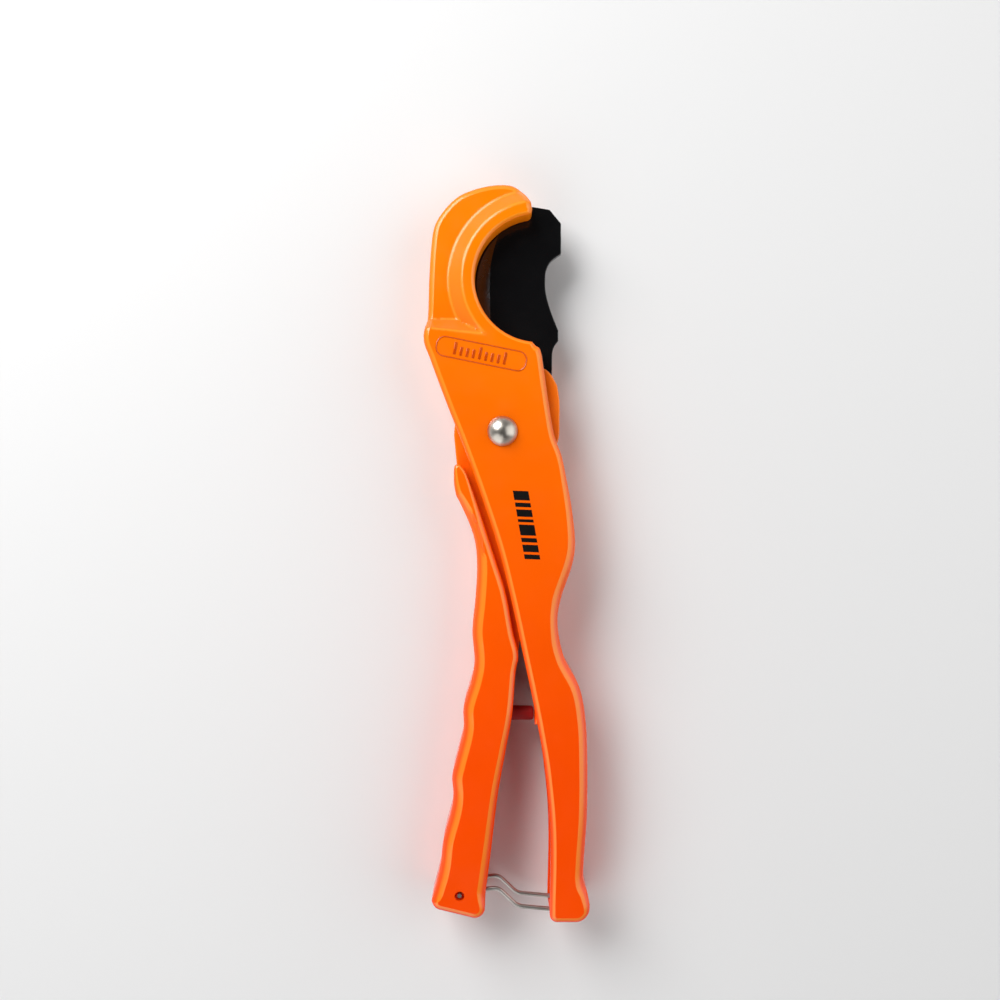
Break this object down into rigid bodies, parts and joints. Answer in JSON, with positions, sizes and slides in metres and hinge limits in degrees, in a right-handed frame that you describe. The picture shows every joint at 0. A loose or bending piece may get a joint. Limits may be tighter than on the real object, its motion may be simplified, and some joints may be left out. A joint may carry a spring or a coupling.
{
  "type": "pvc pipe cutter",
  "caption": "Hand cutter for plastic pipe: hooked jaw and fixed handle in one casting, moving handle carrying a broad blade, and a wire bail that locks the handles shut.",
  "frame": {"origin": "middle of the tool's bounding box, on the rear face that it lies on", "axes": "+Y along the tool towards the jaw, +Z out of the front face with the rivet's dome, +X towards the open side of the jaw"},
  "size_m": [0.0462, 0.2052, 0.0207],
  "materials": {
    "orange_paint": "glossy enamel",
    "black_blade": "smooth semi-gloss coating",
    "plated_steel": "nickel plate",
    "spring_steel": "zinc-plated wire",
    "buffer_rubber": "matt"
  },
  "bodies": {
    "frame": {"fixed_casting": "orange_paint", "pivot_rivet": "plated_steel", "rivet_tail_washer": "plated_steel", "pivot_sleeve": "plated_steel", "thrust_washer": "plated_steel", "spring_spool": "plated_steel", "opening_spring": "spring_steel"},
    "lever": {"moving_handle": "orange_paint", "blade": "black_blade", "blade_pin_1": "plated_steel", "blade_pin_2": "plated_steel", "closing_buffer": "buffer_rubber"},
    "bail": {"lock_bail": "spring_steel"}
  },
  "joints": [
    {"name": "handle_pivot", "type": "hinge", "parent": "frame", "child": "lever", "pos_m": [-0.00115, 0.03345, 0.009], "axis": [0, 0, -1], "range_deg": [0, 46], "deforming": ["opening_spring"]},
    {"name": "bail_swing", "type": "hinge", "parent": "lever", "child": "bail", "pos_m": [-0.01305, -0.09515, 0.009], "axis": [0, 0, 1], "range_deg": [0, 80]}
  ]
}
